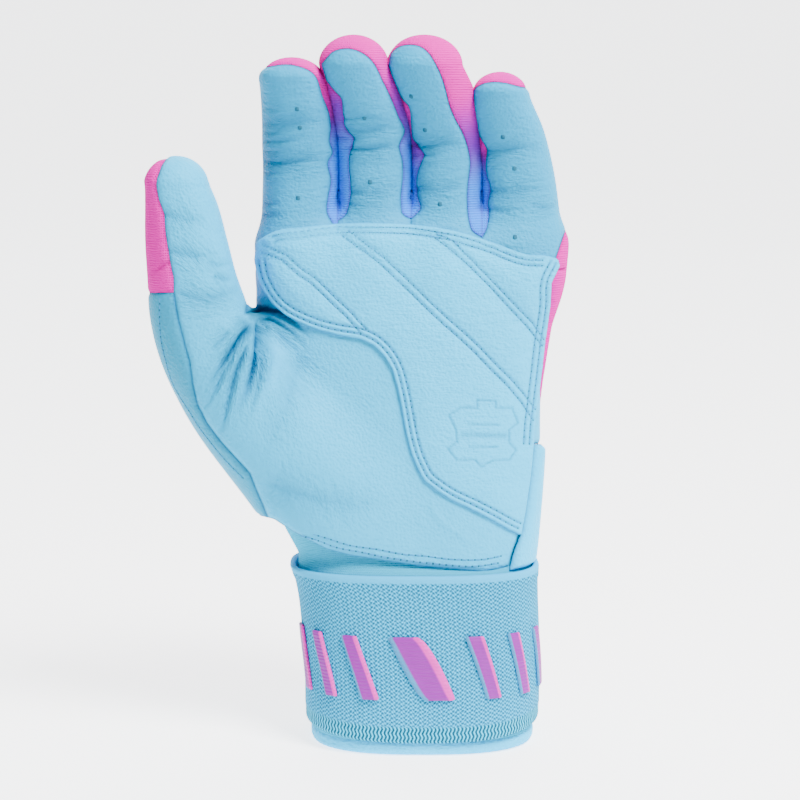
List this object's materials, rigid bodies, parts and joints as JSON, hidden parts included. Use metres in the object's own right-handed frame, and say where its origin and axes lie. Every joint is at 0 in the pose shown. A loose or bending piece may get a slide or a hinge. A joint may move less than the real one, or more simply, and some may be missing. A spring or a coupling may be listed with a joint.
{
  "type": "batting glove",
  "caption": "Left-hand batting glove with leather palm, knit back, reinforcing palm patch and a wrist strap that wraps round to a hook-and-loop tab.",
  "frame": {"origin": "middle of the footprint, on the surface that the cuff's rim stands on", "axes": "+Z from the cuff to the fingertips, -Y the way the palm faces, -X towards the thumb"},
  "size_m": [0.1306, 0.0632, 0.2239],
  "materials": {
    "leather": "soft matt sky blue palm leather",
    "patch_leather": "soft matt pale sky blue leather with stitch rows",
    "side_leather": "matt mid blue synthetic leather",
    "back_fabric": "hot pink stretch knit",
    "gusset_fabric": "stretch knit printed pink to violet to blue",
    "elastic": "ribbed woven elastic",
    "moulded": "satin moulded trim",
    "pile": "hook-and-loop pile"
  },
  "bodies": {
    "palm": {"palm_leather": "leather", "hand_back": "back_fabric", "palm_patch": "patch_leather", "thumb_side_patch": "side_leather", "slit_binding": "patch_leather", "wrist_cuff": "side_leather", "cuff_rim": "patch_leather", "wrist_strap": "elastic", "loop_pile": "pile", "strap_slash_1": "moulded", "strap_slash_2": "moulded", "strap_slash_3": "moulded", "strap_slash_4": "moulded", "strap_slash_5": "moulded", "strap_slash_6": "moulded", "strap_slash_7": "moulded"},
    "knuckles": {"knuckle_leather": "leather", "knuckle_back": "back_fabric", "gusset_index_middle": "gusset_fabric", "gusset_middle_ring": "gusset_fabric", "gusset_ring_little": "gusset_fabric", "palm_patch_top": "patch_leather"},
    "index_finger": {"index_leather": "leather", "index_back": "back_fabric", "index_gusset_right": "gusset_fabric"},
    "middle_finger": {"middle_leather": "leather", "middle_back": "back_fabric", "middle_gusset_left": "gusset_fabric", "middle_gusset_right": "gusset_fabric"},
    "ring_finger": {"ring_leather": "leather", "ring_back": "back_fabric", "ring_gusset_left": "gusset_fabric", "ring_gusset_right": "gusset_fabric"},
    "little_finger": {"little_leather": "leather", "little_back": "back_fabric", "little_gusset_left": "gusset_fabric"},
    "thumb": {"thumb_leather": "leather", "thumb_back": "back_fabric"},
    "flap": {"strap_flap": "elastic"},
    "tab": {"hook_tab": "side_leather", "hook_pile": "pile", "pull_rib_1": "moulded", "pull_rib_2": "moulded", "pull_rib_3": "moulded", "pull_rib_4": "moulded", "pull_rib_5": "moulded"}
  },
  "joints": [
    {"name": "knuckle_flex", "type": "hinge", "parent": "palm", "child": "knuckles", "pos_m": [0.0171, -0.0185, 0.151], "axis": [1, 0, 0], "range_deg": [0, 60]},
    {"name": "index_flex", "type": "hinge", "parent": "knuckles", "child": "index_finger", "pos_m": [-0.0176, -0.0152, 0.18352], "axis": [1, 0, 0], "range_deg": [0, 75]},
    {"name": "middle_flex", "type": "hinge", "parent": "knuckles", "child": "middle_finger", "pos_m": [0.0068, -0.017, 0.18998], "axis": [0.9686, -0.1361, 0.2079], "range_deg": [0, 75]},
    {"name": "ring_flex", "type": "hinge", "parent": "knuckles", "child": "ring_finger", "pos_m": [0.0289, -0.0162, 0.18602], "axis": [0.9703, 0, 0.2419], "range_deg": [0, 75]},
    {"name": "little_flex", "type": "hinge", "parent": "knuckles", "child": "little_finger", "pos_m": [0.0519, -0.0148, 0.17797], "axis": [0.9945, 0, 0.1045], "range_deg": [0, 75]},
    {"name": "thumb_flex", "type": "hinge", "parent": "palm", "child": "thumb", "pos_m": [-0.0463, -0.027, 0.141], "axis": [0.9848, 0.1736, 0], "range_deg": [0, 40]},
    {"name": "strap_unwrap", "type": "hinge", "parent": "palm", "child": "flap", "pos_m": [-0.0171, 0.0136, 0.0309], "axis": [0, 0, 1], "range_deg": [0, 90]},
    {"name": "tab_peel", "type": "hinge", "parent": "flap", "child": "tab", "pos_m": [0.0279, 0.0316, 0.0322], "axis": [0, 0, 1], "range_deg": [0, 75]}
  ]
}
